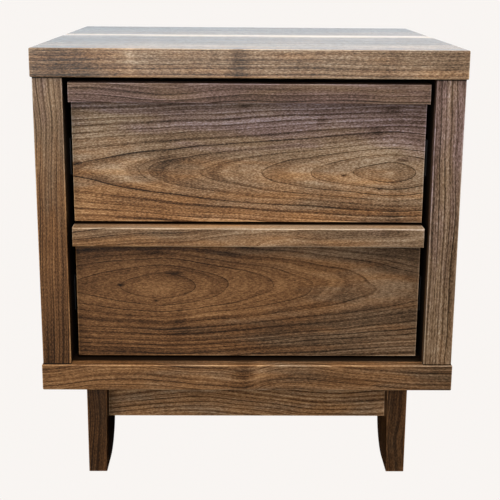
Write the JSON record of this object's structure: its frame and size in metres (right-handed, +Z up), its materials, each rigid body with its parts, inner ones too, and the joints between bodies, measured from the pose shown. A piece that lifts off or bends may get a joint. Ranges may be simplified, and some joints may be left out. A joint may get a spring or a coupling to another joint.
{
  "type": "nightstand with drawers",
  "caption": "Solid wood nightstand: thick top slab, panel sides, drawers with projecting pull lips on ball-bearing slides, low base of board legs and rails.",
  "frame": {"origin": "on the floor, under the middle of the top slab", "axes": "+Z up, -Y towards someone facing the drawers, +X to that person's right"},
  "size_m": [0.508, 0.457, 0.54],
  "materials": {
    "walnut": "satin oil",
    "walnut_top": "satin oil, edge-glued boards with some paler sapwood",
    "drawer_wood": "clear matt lacquer",
    "plywood": "clear matt lacquer",
    "beech_dowel": "bare",
    "slide_steel": "black electrocoat",
    "zinc_screw": "zinc plated",
    "polished_steel": "bright steel balls and strip"
  },
  "bodies": {
    "case": {"back_panel": "plywood", "back_panel_screws": "zinc_screw", "base_dowels": "beech_dowel", "base_screws": "zinc_screw", "bottom_dowels": "beech_dowel", "bottom_panel": "walnut", "corner_block_front_left": "drawer_wood", "corner_block_front_right": "drawer_wood", "corner_block_rear_left": "drawer_wood", "corner_block_rear_right": "drawer_wood", "front_rail": "walnut", "leg_front_left": "walnut", "leg_front_right": "walnut", "leg_rear_left": "walnut", "leg_rear_right": "walnut", "rear_rail": "walnut", "side_panel_left": "walnut", "side_panel_right": "walnut", "side_rail_left": "walnut", "side_rail_right": "walnut", "slide_case_screws": "zinc_screw", "top_dowels": "beech_dowel", "top_slab": "walnut_top", "upper_left_slide_outer": "slide_steel", "upper_right_slide_outer": "slide_steel", "lower_left_slide_outer": "slide_steel", "lower_right_slide_outer": "slide_steel"},
    "upper_drawer": {"upper_box_back": "drawer_wood", "upper_box_floor": "plywood", "upper_box_front": "drawer_wood", "upper_box_side_left": "drawer_wood", "upper_box_side_right": "drawer_wood", "upper_drawer_face": "walnut", "upper_face_screws": "zinc_screw", "upper_left_slide_inner": "slide_steel", "upper_pull_lip": "walnut", "upper_right_slide_inner": "slide_steel", "upper_slide_screws": "zinc_screw"},
    "lower_drawer": {"lower_box_back": "drawer_wood", "lower_box_floor": "plywood", "lower_box_front": "drawer_wood", "lower_box_side_left": "drawer_wood", "lower_box_side_right": "drawer_wood", "lower_drawer_face": "walnut", "lower_face_screws": "zinc_screw", "lower_left_slide_inner": "slide_steel", "lower_pull_lip": "walnut", "lower_right_slide_inner": "slide_steel", "lower_slide_screws": "zinc_screw"},
    "upper_slide_middles": {"upper_left_slide_middle": "slide_steel", "upper_right_slide_middle": "slide_steel"},
    "lower_slide_middles": {"lower_left_slide_middle": "slide_steel", "lower_right_slide_middle": "slide_steel"},
    "upper_outer_cages": {"upper_outer_ball_cages": "polished_steel"},
    "lower_outer_cages": {"lower_outer_ball_cages": "polished_steel"},
    "upper_inner_cages": {"upper_inner_ball_cages": "polished_steel"},
    "lower_inner_cages": {"lower_inner_ball_cages": "polished_steel"}
  },
  "joints": [
    {"name": "upper_drawer_slide", "type": "slide", "parent": "case", "child": "upper_drawer", "axis": [0, -1, 0], "range_m": [0, 0.35]},
    {"name": "upper_middle_members_slide", "type": "slide", "parent": "case", "child": "upper_slide_middles", "axis": [0, -1, 0], "range_m": [0, 0.175]},
    {"name": "upper_outer_cages_slide", "type": "slide", "parent": "case", "child": "upper_outer_cages", "axis": [0, -1, 0], "range_m": [0, 0.0875]},
    {"name": "upper_inner_cages_slide", "type": "slide", "parent": "case", "child": "upper_inner_cages", "axis": [0, -1, 0], "range_m": [0, 0.2625]},
    {"name": "lower_drawer_slide", "type": "slide", "parent": "case", "child": "lower_drawer", "axis": [0, -1, 0], "range_m": [0, 0.35]},
    {"name": "lower_middle_members_slide", "type": "slide", "parent": "case", "child": "lower_slide_middles", "axis": [0, -1, 0], "range_m": [0, 0.175]},
    {"name": "lower_outer_cages_slide", "type": "slide", "parent": "case", "child": "lower_outer_cages", "axis": [0, -1, 0], "range_m": [0, 0.0875]},
    {"name": "lower_inner_cages_slide", "type": "slide", "parent": "case", "child": "lower_inner_cages", "axis": [0, -1, 0], "range_m": [0, 0.2625]}
  ],
  "couplings": [
    {"joint": "upper_middle_members_slide", "follows": "upper_drawer_slide", "ratio": 0.5},
    {"joint": "upper_outer_cages_slide", "follows": "upper_drawer_slide", "ratio": 0.25},
    {"joint": "upper_inner_cages_slide", "follows": "upper_drawer_slide", "ratio": 0.75},
    {"joint": "lower_middle_members_slide", "follows": "lower_drawer_slide", "ratio": 0.5},
    {"joint": "lower_outer_cages_slide", "follows": "lower_drawer_slide", "ratio": 0.25},
    {"joint": "lower_inner_cages_slide", "follows": "lower_drawer_slide", "ratio": 0.75}
  ]
}
